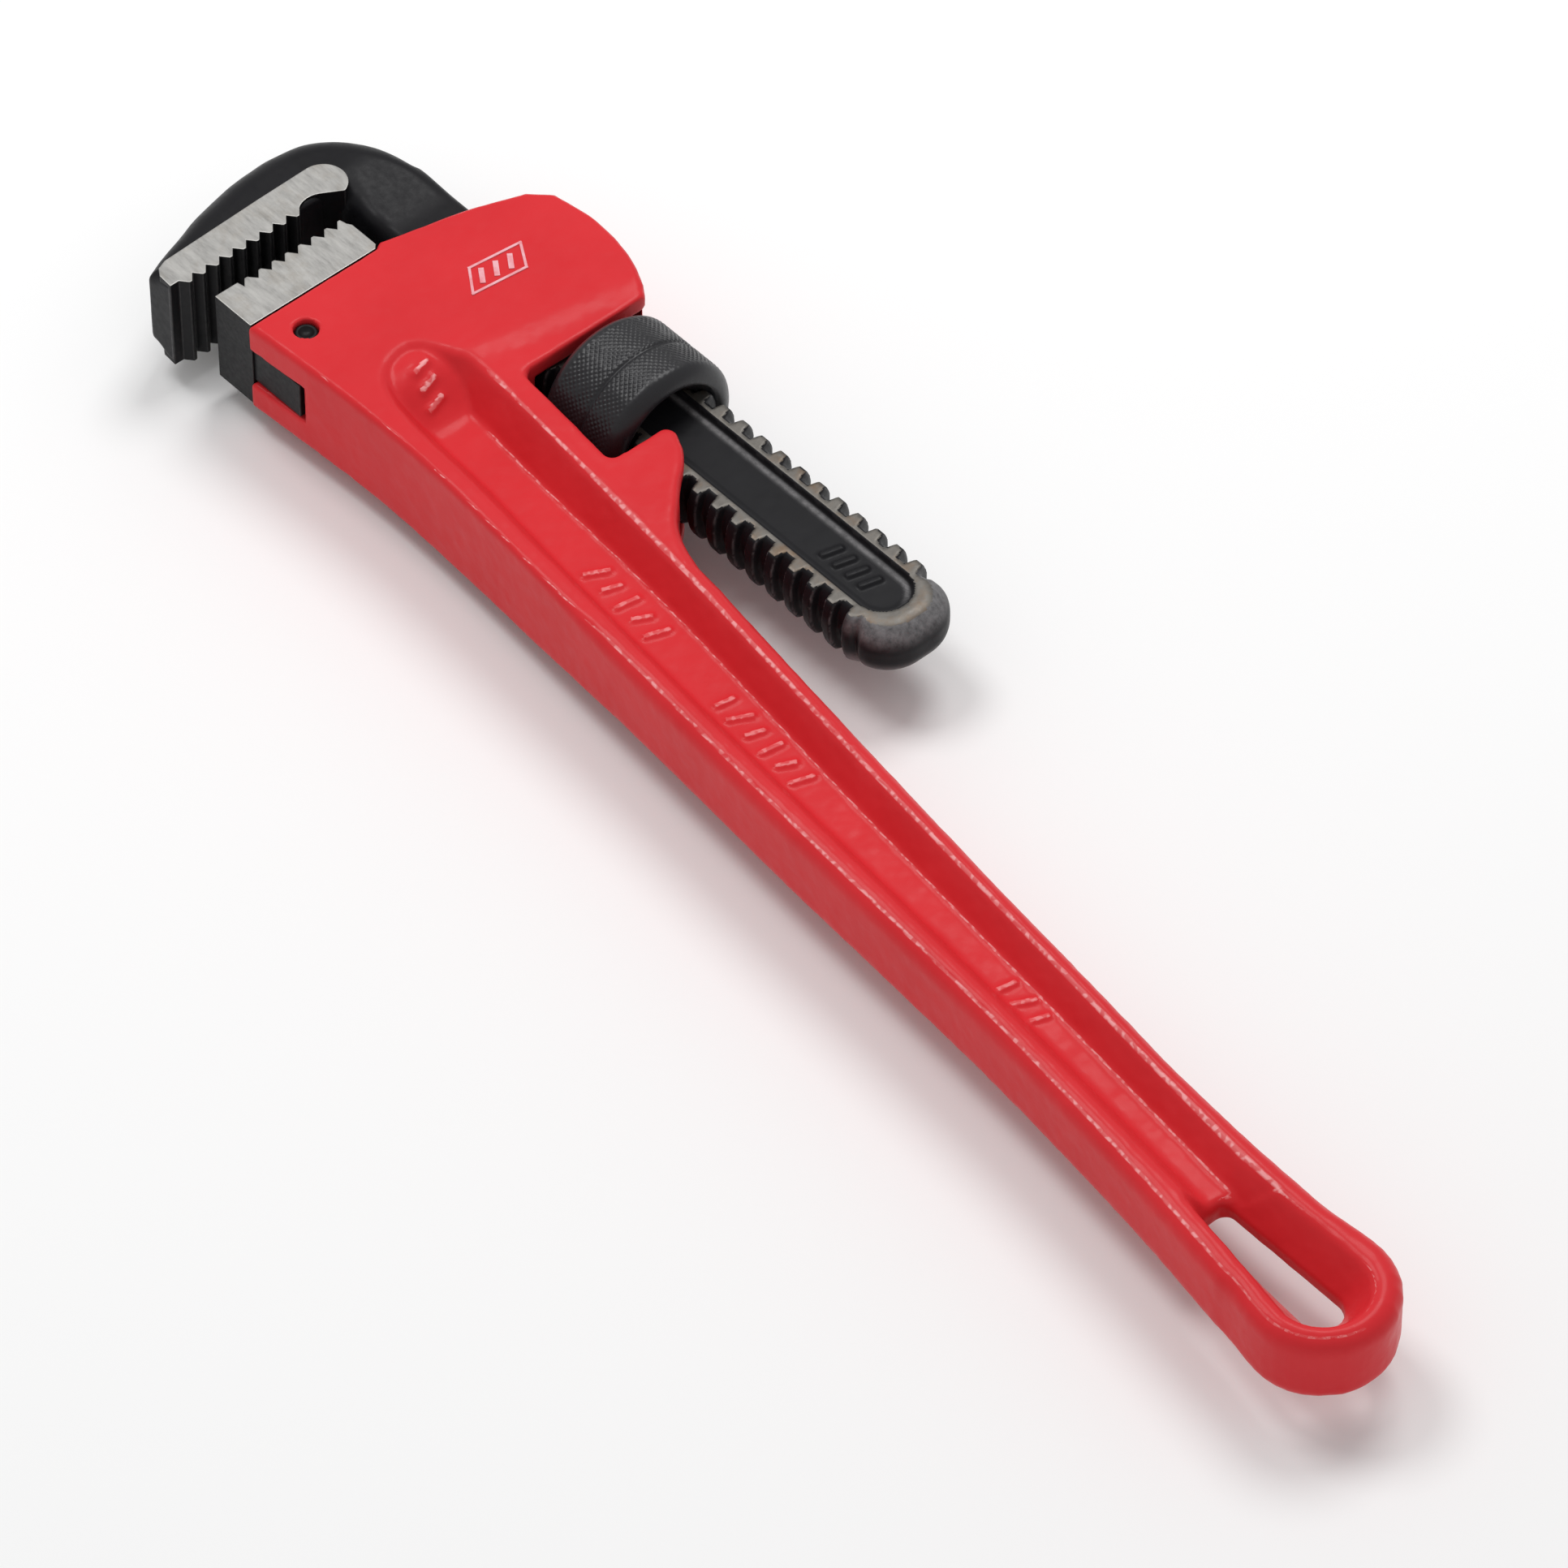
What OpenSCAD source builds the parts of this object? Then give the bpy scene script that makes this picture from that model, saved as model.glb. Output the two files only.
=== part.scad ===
// Straight pipe wrench with an adjustable hook jaw, lying flat. Units are millimetres.
// +X runs from the jaws to the hang slot, +Y from the heel edge to the front of the housing.
// Drawn about the shank axis: x = 0 is the tooth line of the heel jaw, z = 0 the middle plane.
// in_row_frame() then moves every piece so that the origin is at the bottom centre of the box.

/* [Handle casting] */
// Thickness of the housing over its two side faces
housing_t = 19; // [18.6:0.1:19.6]
// Half thickness of the grip where it leaves the housing
grip_half = 8.5; // [8.3:0.1:8.7]
// Half thickness of the grip at the hang slot
tail_half = 7.1; // [6.8:0.1:7.6]
// X of the far end of the handle
tail_x = 275.8; // [274:0.2:280]
// Edge rounding of the housing
housing_edge = 1.2; // [0.8:0.1:1.6]
// Edge rounding of the grip
grip_edge = 3.2; // [2.5:0.1:4]
// Thickness of the web between the two recesses
web_t = 5; // [4:0.5:7]
// Width of the hang slot in the middle plane
slot_w = 7.2; // [6.6:0.1:7.6]

/* [Hook jaw] */
// Outside radius of the thread on the shank
thread_r = 9.5; // [9.3:0.1:9.6]
// Depth of the thread
thread_depth = 1.55; // [1.4:0.05:1.6]
// Distance between two thread crests
thread_pitch = 4.55; // [4.5:0.05:4.7]
// Half thickness of the shank across its flats
shank_half = 5; // [4.8:0.1:5.1]
// X of the far end of the shank
shank_end = 126.4; // [125.5:0.1:128]
// Thickness of the jaw heads
jaw_t = 18; // [17.6:0.1:18.4]
// Gap between the two tooth lines as drawn
jaw_gap = 5.1; // [5.1:0.1:6]

/* [Adjusting nut] */
// Outside radius of the nut
nut_r = 13.5; // [13.2:0.1:13.6]
// Length of the nut
nut_len = 18; // [17:0.5:18.5]
// Clearance between the two threads
thread_play = 0.25; // [0.2:0.05:0.35]
// Number of flats of the coarse knurl
knurl_count = 48; // [36:4:56]

/* [Heel jaw] */
// Distance between two teeth of the jaws
tooth_pitch = 2.8; // [2.6:0.1:2.9]
// Height of the jaw teeth
tooth_h = 1.4; // [1:0.1:1.6]
// Radius of the pin that holds the heel jaw
pin_r = 2; // [1.8:0.1:2.2]

/* [Springs] */
// Radius of the coil spring to the middle of its wire
coil_r = 2.7; // [2.4:0.1:2.8]
// Radius of the coil spring's wire
wire_r = 0.45; // [0.35:0.05:0.5]
// Thickness of the flat spring
leaf_t = 0.8; // [0.6:0.1:1]

/* [Hidden] */
$fn = 48;

housing_half = housing_t / 2;
jaw_half = jaw_t / 2;
housing_x = 8.9;                       // left face of the housing, where the heel jaw sits
front_y = 17.83;                       // highest point of the housing
tail_y = -59.1;                        // lowest point of the handle
hook_x = -21.4;                        // back of the hook
nut_mid = 57.4;                        // middle of the nut and rocking centre
window_x = [46.2, 68.9];               // walls of the nut window
tunnel_half = 5.6;                     // half width of the tunnel for the shank
tunnel_y = [-10.7, 12.6];              // floor and roof of the tunnel
root_r = thread_r - thread_depth;      // root radius of the thread
thread_phase = 69.66;                  // X of one thread crest, seen from +Y
crests = [-6 : 10];                    // threads on the shank, counted from that crest
thread_x = [41, 117.5];                // span of the thread
crest_half = 0.6;                      // half width of a crest
flank = 1.07;                          // length of a thread flank along X
crest = [[-crest_half - flank, 0], [-crest_half, thread_depth], [crest_half, thread_depth],
         [crest_half + flank, 0]];     // corners of one thread: place, height over the root
seat_play = 0.02;                      // clearance of the pin in its bores
pin_at = [15.6, -33.3];                // centre of the heel jaw pin
tongue_half = 3.6;                     // half thickness of the heel jaw's tongue
tongue_end = 21;                       // far end of the tongue
spring_x = 20;                         // X of the coil spring
coil_y = [-19.6, -9.75];               // lower and upper end of the coil spring
rivet_x = 38;                          // X of the rivet of the flat spring
rivet_r = 1.5;                         // radius of that rivet
eps = 0.05;

// Near and far edge of the grip, from the housing to the hang slot.
near_edge = [[8.9, -39.9], [20, -39.2], [34, -38.5], [50, -38.6], [71, -40], [92, -41.9],
             [118, -44.2], [143, -46.3], [168, -48], [194, -49.9], [214, -52], [234, -54.5],
             [252, -57.4]];
far_edge = [[60, -16.5], [80, -18], [101, -20], [125, -23], [149, -26], [174, -28.9],
            [199, -31.5], [220, -33.8], [239, -35], [252, -35.3]];

function mix(a, b, t) = a + (b - a) * t;
function ease(t) = let (s = min(1, max(0, t))) s * s * (3 - 2 * s);
function unit(v) = v / norm(v);
function arc(c, r, a0, a1, n) =
    [for (i = [0 : n]) c + r * [cos(mix(a0, a1, i / n)), sin(mix(a0, a1, i / n))]];

// Smooth curve through the points p, with n steps from each point to the next.
function blend4(a, b, c, d, t) = 0.5 * (2 * b + (c - a) * t + (2 * a - 5 * b + 4 * c - d) * t * t
    + (3 * b - a - 3 * c + d) * t * t * t);
function curve(p, n) = [
    for (i = [0 : len(p) - 2]) for (j = [0 : n - 1])
        blend4(p[max(i - 1, 0)], p[i], p[i + 1], p[min(i + 2, len(p) - 1)], j / n),
    p[len(p) - 1]];

// Height of a point list at x, read along straight lines between its points.
function along(p, x) = let (k = [for (i = [0 : len(p) - 2]) if (p[i].x <= x) i],
    i = k[len(k) - 1]) mix(p[i].y, p[i + 1].y, (x - p[i].x) / (p[i + 1].x - p[i].x));

// Point i of a counter-clockwise outline, moved inwards by d along its mitre.
function inset_point(p, i, d) = let (n = len(p), b = p[i], u = unit(b - p[(i + n - 1) % n]),
    v = unit(p[(i + 1) % n] - b), m = unit([-u.y - v.y, u.x + v.x]))
    b + m * d / max(0.5, m * [-v.y, v.x]);

// Triangles of a counter-clockwise outline p, cut off one corner at a time, the shortest cut first.
function turn(a, b, c) = (b.x - a.x) * (c.y - a.y) - (b.y - a.y) * (c.x - a.x);
function holds(a, b, c, q) = turn(a, b, q) >= 0 && turn(b, c, q) >= 0 && turn(c, a, q) >= 0;
function corner(left, i) = let (n = len(left)) [left[(i + n - 1) % n], left[i], left[(i + 1) % n]];
function is_ear(p, left, t) = turn(p[t[0]], p[t[1]], p[t[2]]) > 0.001
    && len([for (j = left) if (j != t[0] && j != t[1] && j != t[2]
                               && holds(p[t[0]], p[t[1]], p[t[2]], p[j])) j]) == 0;
function ears(p, left) = len(left) < 4 ? [left] : let (
    good = [for (i = [0 : len(left) - 1]) let (t = corner(left, i))
        if (is_ear(p, left, t)) [norm(p[t[0]] - p[t[2]]), i]],
    shortest = min([for (g = good) g[0]]),
    cut = [for (g = good) if (g[0] == shortest) g[1]][0])
    concat([corner(left, cut)], ears(p, [for (i = [0 : len(left) - 1]) if (i != cut) left[i]]));

// Closed solid through rings of points that all have the same count. caps lists the faces of
// the first ring by point number, and the last ring gets the same ones.
module skin(rings, caps = []) {
    n = len(rings[0]);
    last = len(rings) - 1;
    ends = len(caps) > 0 ? caps : [[for (i = [0 : n - 1]) i]];
    polyhedron(
        points = [for (r = rings) for (q = r) q],
        faces = concat(
            ends,
            [for (k = [0 : last - 1]) for (i = [0 : n - 1])
                [k * n + i, (k + 1) * n + i, (k + 1) * n + (i + 1) % n, k * n + (i + 1) % n]],
            [for (f = ends) [for (i = [len(f) - 1 : -1 : 0]) last * n + f[i]]]),
        convexity = 8);
}

// Flat slab of a counter-clockwise outline with rounded edges, centred on z = 0.
// weight(q) scales the rounding at the outline point q.
module soft_slab(outline, half, edge, weight = function (q) 1, steps = 3) {
    turn = [for (j = [0 : steps]) 90 * j / steps];
    side = [for (a = turn) [1 - cos(a), half - edge + edge * sin(a)]];
    levels = concat([for (j = [steps : -1 : 0]) [side[j].x, -side[j].y]], side);
    points = [for (i = [0 : len(outline) - 1]) i];
    rings = [for (s = levels) [for (i = points)
        concat(inset_point(outline, i, s.x * edge * weight(outline[i])), s.y)]];
    skin(rings, ears(rings[0], points));
}

// Ring across X: a rectangle from y0 to y1 with rounded corners.
function grip_ring(x, y0, y1, half, edge) = let (r = min(edge, half - 0.3, (y1 - y0) / 2 - 0.3))
    [for (c = [[y1 - r, half - r, 0], [y0 + r, half - r, 90], [y0 + r, r - half, 180],
               [y1 - r, r - half, 270]])
        for (a = [0 : 30 : 90]) [x, c[0] + r * cos(c[2] + a), c[1] + r * sin(c[2] + a)]];

module in_row_frame() {
    translate([-(hook_x + tail_x) / 2, -(front_y + tail_y) / 2, nut_r]) children();
}

// ---- Handle casting ----

// Half thickness along the handle. The housing keeps its full thickness up to taper_x.
taper_x = 55;
neck_x = 88;
half_at = [[0, housing_half], [taper_x, housing_half - 0.02], [neck_x, grip_half - 0.02], [120, 8],
           [150, 7.8], [185, mix(7.8, tail_half, 0.6)], [220, tail_half], [300, tail_half]];
function grip_thickness(x) = along(half_at, x);
function grip_rounding(x) = mix(housing_edge, grip_edge, ease((x - 74) / 36));

// The round end of the grip: its two edges run into a circle about end_c.
end_r = 12.3;
end_c = [tail_x - end_r, tail_y + end_r];
function end_spread(x) = end_r * (x < end_c.x ? 1 : sqrt(max(0, 1 - pow((x - end_c.x) / end_r, 2))));
near_curve = curve(near_edge, 4);
far_curve = curve(far_edge, 4);
function grip_near(x) = mix(along(near_curve, min(x, 251.9)), end_c.y - end_spread(x),
                            ease((x - 252) / 12));
function grip_far(x) = mix(along(far_curve, min(x, 251.9)), end_c.y + end_spread(x),
                           ease((x - 252) / 12));

module grip() {
    stations = concat([for (i = [0 : 24]) mix(62, 252, i / 24)],
                      [for (a = [8 : 8 : 64]) mix(252, tail_x, sin(a))],
                      [for (a = [70 : 4 : 86]) mix(252, tail_x, sin(a))]);
    round_x = tail_x - 4;
    skin([for (x = stations)
        let (drop = x < round_x ? 0 : 4 - sqrt(max(0, 16 - pow(x - round_x, 2))))
        grip_ring(x, grip_near(x) + 0.02, grip_far(x), grip_thickness(x) - drop,
                  grip_rounding(x))]);
}

// Outline of the housing with its nut window, counter-clockwise from its lower left corner.
housing_outline = concat(
    [for (q = curve(near_edge, 2)) if (q.x < 80) q],
    [[95.5, -30]],
    curve([[95.5, -20.1], [90.5, -18.5], [86.3, -16.3], [83.2, -13.4], [80.4, -10.8], [77.2, -7.2],
           [74.4, -4.9]], 2),
    arc([window_x[1] + 2.1, -5.6], 2.1, 70, 180, 4),
    arc([window_x[1] - 1.5, -13.7], 1.5, 0, -90, 3),
    arc([window_x[0] + 1.2, -12], 1.5, 270, 180, 3),
    [[46.8, 11.7]],
    curve([[43.4, 14], [37.8, 16.3], [32, 17.5], [26, front_y], [18.6, 16.6]], 3),
    curve([[15.2, 13.2], [13.4, 8.4], [11.5, 3], [9.9, -4], [8, -11.9]], 2),
    [[housing_x, -13.2]]);

// Housing slab, its two faces planed down towards the grip.
module housing() {
    slope = atan((housing_half - grip_half) / (neck_x - taper_x));
    difference() {
        soft_slab(housing_outline, housing_half, housing_edge);
        for (side = [0, 1]) mirror([0, 0, side])
            translate([taper_x, -60, housing_half]) rotate([0, slope, 0])
                translate([-8, 0, 0]) cube([68, 90, 4]);
    }
}

// Recess in one side of the grip: sloped walls, flat web, a ramp at the housing end.
recess_far = [[28, -17.4], [50, -18], [72, -20.5], [101, -23.4], [144, -28.7], [200, -34.8],
              [241, -39.2]];
recess_near = [[28, -30.6], [42, -34.2], [57, -35.2], [86, -37.5], [114, -39.9], [143, -42.1],
               [173, -44.3], [202, -46.7], [241, -50.6]];
recess_slope = 3.6;
ramp_x = [29, 43];
function recess_ring(x) = let (
    open = sqrt(max(0.02, 1 - pow(max(0, (38 - x) / 10), 2))),
    f = along(recess_far, x), n = along(recess_near, x), c = (f + n) / 2,
    far = mix(c, f, open), near = mix(c, n, open), top = grip_thickness(x) + 0.9,
    floor_z = mix(housing_half - 0.6, web_t / 2, ease((x - ramp_x[0]) / (ramp_x[1] - ramp_x[0]))),
    s = recess_slope * open * (top - floor_z) / (top - web_t / 2))
    [[x, near, top], [x, near + s, floor_z + 0.4], [x, near + s + 0.4 * open, floor_z],
     [x, far - s - 0.4 * open, floor_z], [x, far - s, floor_z + 0.4], [x, far, top]];
module recess() {
    stations = [28.2, 29, 30.5, 32, 34, 36, 38, 41, 44, 47, 50, 60, 75, 90, 105, 120, 144, 160,
                180, 200, 220, 241];
    skin([for (x = stations) recess_ring(x)]);
}

// Hang slot: narrowest in the middle plane, its walls sloped outwards to both faces.
slot_middle = concat(
    arc([241.9, -47.9], 1.6, 180, 270, 3),
    arc([264.2, -47.4], slot_w / 2, -90, 90, 10),
    arc([241.9, -45.4], 1.6, 90, 180, 3));
slot_face = concat(
    arc([239.5, -48.8], 2, 180, 270, 3),
    arc([264.2, -47.4], slot_w / 2 + 4.3, -90, 90, 10),
    arc([239.5, -41.5], 2, 90, 180, 3));
module hang_slot() {
    land = 1;
    outside = 10;
    spread = (outside - land) / (tail_half - land);
    skin([for (s = [[-outside, spread], [-land, 0], [land, 0], [outside, spread]])
        [for (i = [0 : len(slot_face) - 1]) concat(mix(slot_middle[i], slot_face[i], s.y), s.x)]]);
}

// Raised marks on the web: three groups of plain slanted bars.
module grip_marks() {
    for (group = [[82, 98], [116, 136], [188, 196]]) for (x = [group[0] : 4 : group[1]])
        translate([x, (along(recess_far, x) + along(recess_near, x)) / 2 - 0.4, 0])
            rotate([0, 0, 62]) cube([4.4, 1.3, web_t + 1], center = true);
}

module handle() {
    tunnel_h = tunnel_y[1] - tunnel_y[0];
    color([0.8, 0.12, 0.13]) in_row_frame() union() {
        difference() {
            union() {
                housing();
                grip();
            }
            recess();
            mirror([0, 0, 1]) recess();
            hang_slot();
            // Tunnel for the shank and its run-out groove through the horn.
            translate([0, tunnel_y[0], -tunnel_half])
                cube([window_x[0] + 5, tunnel_h, 2 * tunnel_half]);
            translate([window_x[1] - 1, tunnel_y[0] - 0.6, -tunnel_half])
                cube([30, 30, 2 * tunnel_half]);
            // Round relief for the nut in the floor of its window.
            translate([window_x[0] - 0.5, 0, 0]) rotate([0, 90, 0])
                cylinder(r = nut_r + 1, h = window_x[1] - window_x[0] + 0.9);
            // Seat of the heel jaw's tongue and the bore of its pin.
            translate([0, -45, -tongue_half - 0.15])
                cube([tongue_end + 0.3, 18.8, 2 * tongue_half + 0.3]);
            translate([pin_at.x, pin_at.y, -15]) cylinder(r = pin_r + seat_play, h = 30);
            // Blind hole for the coil spring and the hole of the rivet.
            translate([spring_x, coil_y[0] - 0.6, 0]) rotate([-90, 0, 0])
                cylinder(r = coil_r + wire_r + 0.45, h = 12);
            translate([rivet_x, 10, 0]) rotate([-90, 0, 0])
                cylinder(r = rivet_r + seat_play, h = 12);
        }
        grip_marks();
    }
}

// ---- Hook jaw ----

head_outline = concat(
    curve([[2, 7.2], [-5, 6.4], [-11.5, 4.6], [-16.6, 0.4], [-19.9, -4.8], [-21.3, -10.5],
           [hook_x, -14.5], [-20.4, -21], [-18.5, -28.4], [-16.7, -34.4], [-14.4, -40.4]], 2),
    [[-12.6, -43.2], [-6.6, -43.2], [-6.6, -15.5]],
    arc([-2.4, -12.1], 4.2, 170, 95, 4),
    [[2.5, -7.9], [3, -5], [3, 5]]);
function head_weight(q) = q.x > -8 && q.y < -7 ? 0.2
    : mix(0.45, 1, ease((q.y + 42) / 20)) * mix(1, 0.25, ease((q.x + 9) / 8));

// Tooth outline along a straight edge at x, from the lowest tooth up to the one at y_first.
function teeth(x, y_first, count, pitch, h) = [for (k = [count - 1 : -1 : 0])
    for (q = [[0, -0.5 * pitch], [h, -0.1 * pitch], [h, 0.1 * pitch]])
        [x + q.x, y_first - k * pitch + q.y]];

module jaw_strip() {
    tooth_x = -jaw_gap - tooth_h;
    linear_extrude(jaw_t, center = true)
        polygon(concat(
            teeth(tooth_x, -17.6, 9, tooth_pitch, tooth_h),
            [[tooth_x, -16.2]],
            arc([-3.2, -13.8], 4.1, 208, 150, 3),
            arc([-8.5, -9.6], 4.15, 20, 180, 8),
            [[-12.65, -42.2], [-11.6, -43.4], [tooth_x, -43.4]]));
}

// Ring of the shank across X. The helix moves points along X by their angle about the axis.
columns = [-1, -0.68, -0.34, 0, 0.34, 0.68, 1];
function shank_ring(x, r0, r1, half, lead = 0) = concat(
    [for (t = columns) let (z = half * t)
        [x + lead * asin(z / r0) / 360, sqrt(r0 * r0 - z * z), z]],
    [for (t = columns) let (z = -half * t)
        [x + lead * (180 - asin(z / r1)) / 360, -sqrt(r1 * r1 - z * z), z]]);

module shank() {
    neck = [for (x = [-8, 10, 30, thread_x[0] - 1.5])
        shank_ring(x, mix(root_r - 0.35, root_r, ease((x - 20) / 15)), root_r, shank_half)];
    thread = [for (k = crests) for (c = crest)
        shank_ring(thread_phase + k * thread_pitch + c.x, root_r + c.y, root_r + c.y,
                   shank_half, thread_pitch)];
    nose_x = thread_x[1] + 3;
    nose = [for (a = [0 : 15 : 75]) let (s = sin(a), c = cos(a), r = mix(5.2, root_r + 0.6, c))
        shank_ring(mix(nose_x, shank_end, s), r, r,
                   shank_half - 3.2 + 3.2 * sqrt(1 - pow(max(0, s - 0.2) / 0.8, 2) * 0.97))];
    skin(concat(neck, thread, nose));
}

module hook_jaw() {
    panel_x = [52, 115.8];
    panel_half = 4.9;
    color([0.22, 0.22, 0.24]) in_row_frame() difference() {
        union() {
            soft_slab(head_outline, jaw_half - 0.4, 5.8, function (q) head_weight(q));
            jaw_strip();
            shank();
        }
        for (s = [-1, 1]) translate([0, 0, s * (shank_half + 1.8)])
            linear_extrude(6, center = true) polygon(concat(
                arc([panel_x[0], 0], panel_half, 90, 270, 8),
                arc([panel_x[1], 0], panel_half, -90, 90, 8)));
    }
}

// ---- Heel jaw and its pin ----

module heel_jaw() {
    top_y = -12.4;
    low_y = -39.3;
    color([0.72, 0.72, 0.7]) in_row_frame() difference() {
        union() {
            linear_extrude(jaw_t, center = true) mirror([1, 0])
                polygon(concat(
                    [[-housing_x, low_y], [0, low_y], [0, -34.6]],
                    teeth(-tooth_h, -32.9, 1, tooth_pitch, tooth_h),
                    teeth(-tooth_h, -13.5, 7, 2.75, tooth_h),
                    [[-tooth_h, top_y - 0.5], [-2.2, top_y], [-housing_x + 0.8, top_y],
                     [-housing_x, top_y - 0.8]]));
            translate([housing_x - 1, -38.9, -tongue_half])
                cube([tongue_end - housing_x + 1, 12.5, 2 * tongue_half]);
        }
        translate([pin_at.x, pin_at.y, -10]) cylinder(r = pin_r + seat_play, h = 20);
    }
}

module heel_jaw_pin() {
    color([0.15, 0.15, 0.16]) in_row_frame() translate([pin_at.x, pin_at.y, 0])
        cylinder(r = pin_r, h = housing_t - 1.2, center = true);
}

// ---- Adjusting nut ----

// Ring across X of a round bar with n flats and radius r.
function round_ring(x, r, n) = [for (j = [0 : n - 1]) [x, r * cos(360 * j / n), r * sin(360 * j / n)]];

// Thread of the shank as a full round screw, larger by the play, to cut the nut with.
module thread_tap() {
    turns = [-8 : 2];
    n = 32;
    rows = [for (k = turns) for (c = crest)
        [thread_phase + k * thread_pitch + c.x * (1 + 0.17 * (c.y > 0 ? 1 : 0.5)),
         root_r + c.y + thread_play]];
    per_turn = len(crest);
    last = len(rows) - 1;
    function id(k, j) = j < n ? k * n + j : (k + per_turn) * n;
    points = [for (k = [0 : last]) for (j = [0 : n - 1]) let (a = 360 * j / n)
        [rows[k].x + thread_pitch * j / n, rows[k].y * cos(a), rows[k].y * sin(a)]];
    start = len(points);
    low_x = rows[0].x;
    high_x = rows[last - per_turn].x + thread_pitch;
    low_rim = concat([for (j = [0 : n - 1]) id(0, j)], [for (k = [per_turn : -1 : 1]) id(k, 0)]);
    top = last - per_turn;
    high_rim = concat([for (j = [0 : n - 1]) id(top, j)],
                      [for (k = [per_turn : -1 : 1]) id(top + k, 0)]);
    count = len(low_rim);
    polyhedron(
        points = concat(points, [[low_x, 0, 0], [high_x, 0, 0]]),
        faces = concat(
            [for (k = [0 : top - 1]) for (j = [0 : n - 1])
                [id(k, j), id(k + 1, j), id(k + 1, j + 1), id(k, j + 1)]],
            [for (i = [0 : count - 1]) [start, low_rim[i], low_rim[(i + 1) % count]]],
            [for (i = [0 : count - 1]) [start + 1, high_rim[(i + 1) % count], high_rim[i]]]),
        convexity = 8);
}

module adjusting_nut() {
    x0 = nut_mid - nut_len / 2;
    x1 = nut_mid + nut_len / 2;
    body = [[x0, nut_r - 1.9], [x0 + 0.9, nut_r - 0.6], [x0 + 2.2, nut_r], [nut_mid - 0.6, nut_r],
            [nut_mid - 0.1, nut_r - 0.5], [nut_mid + 0.9, nut_r - 0.5], [nut_mid + 1.4, nut_r],
            [x1 - 2.2, nut_r], [x1 - 0.9, nut_r - 0.6], [x1, nut_r - 1.9]];
    mouth = 10.6;
    mouth_depth = 2.2;
    color([0.2, 0.2, 0.22]) in_row_frame() difference() {
        skin([for (q = body) round_ring(q.x, q.y, knurl_count)]);
        thread_tap();
        skin([round_ring(x0 - 1, mouth + 1, 32), round_ring(x0 + mouth_depth, mouth - mouth_depth, 32)]);
        skin([round_ring(x1 - mouth_depth, mouth - mouth_depth, 32), round_ring(x1 + 1, mouth + 1, 32)]);
    }
}

// ---- Springs ----

// Closed coil standing along Y: a tube swept round its helix.
module coil_spring() {
    turns = 6.5;
    per_turn = 16;
    rings = turns * per_turn;
    low = coil_y[0] + wire_r;
    high = coil_y[1] - wire_r;
    color([0.6, 0.6, 0.62]) in_row_frame() translate([spring_x, 0, 0])
        skin([for (i = [0 : rings])
            let (a = 360 * i / per_turn, y = mix(low, high, i / rings))
            [for (j = [0 : 7]) let (b = 45 * j, r = coil_r + wire_r * cos(b))
                [r * cos(a), y + wire_r * sin(b), r * sin(a)]]]);
}

module flat_spring() {
    path = curve([[42, 12.15], [36, 12.12], [27, 11.2], [18, 10.35], [14.5, 10.25], [11.5, 10.8]], 5);
    upper = [for (q = path) q + [0, leaf_t / 2]];
    lower = [for (i = [len(path) - 1 : -1 : 0]) path[i] - [0, leaf_t / 2]];
    color([0.35, 0.36, 0.4]) in_row_frame() difference() {
        linear_extrude(8, center = true) polygon(concat(upper, lower));
        translate([rivet_x, 5, 0]) rotate([-90, 0, 0]) cylinder(r = rivet_r + 0.1, h = 12);
    }
}

module spring_rivet() {
    head_y = 11.7;
    color([0.5, 0.5, 0.52]) in_row_frame() translate([rivet_x, 0, 0]) rotate([-90, 0, 0])
        union() {
            translate([0, 0, head_y - 0.6]) cylinder(r = 2.5, h = 0.6);
            translate([0, 0, head_y - eps]) cylinder(r = rivet_r, h = 4.2);
        }
}

handle();
hook_jaw();
heel_jaw();
heel_jaw_pin();
adjusting_nut();
coil_spring();
flat_spring();
spring_rivet();
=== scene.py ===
import math

import bmesh
import bpy
import numpy as np
from mathutils import Matrix, Vector


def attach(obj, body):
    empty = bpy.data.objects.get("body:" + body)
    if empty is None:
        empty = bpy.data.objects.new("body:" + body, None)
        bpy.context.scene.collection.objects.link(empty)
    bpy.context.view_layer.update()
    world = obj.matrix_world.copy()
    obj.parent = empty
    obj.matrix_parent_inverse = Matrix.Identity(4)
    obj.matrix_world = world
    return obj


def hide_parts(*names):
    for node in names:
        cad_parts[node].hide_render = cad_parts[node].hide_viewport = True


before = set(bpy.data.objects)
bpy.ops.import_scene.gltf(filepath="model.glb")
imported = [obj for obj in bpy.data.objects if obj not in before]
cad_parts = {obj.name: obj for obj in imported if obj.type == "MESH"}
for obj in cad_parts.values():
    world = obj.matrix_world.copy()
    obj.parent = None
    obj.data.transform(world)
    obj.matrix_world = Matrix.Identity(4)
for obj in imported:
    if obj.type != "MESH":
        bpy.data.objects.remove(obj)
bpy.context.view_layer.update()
scene = bpy.context.scene

# Shapes are drawn in millimetres about the shank axis, with x = 0 at the heel jaw's teeth and
# z = 0 in the middle plane. SHIFT moves them into the row frame, and MM turns them into metres.
SHIFT = np.array([-127.2, 20.635, 13.5])
MM = 0.001
# Edge length of the grid cells that the two surface nets are made with.
HANDLE_CELL, HOOK_CELL = ((0.55, 0.36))


# ---------------------------------------------------------------- curves and distance fields

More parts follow.
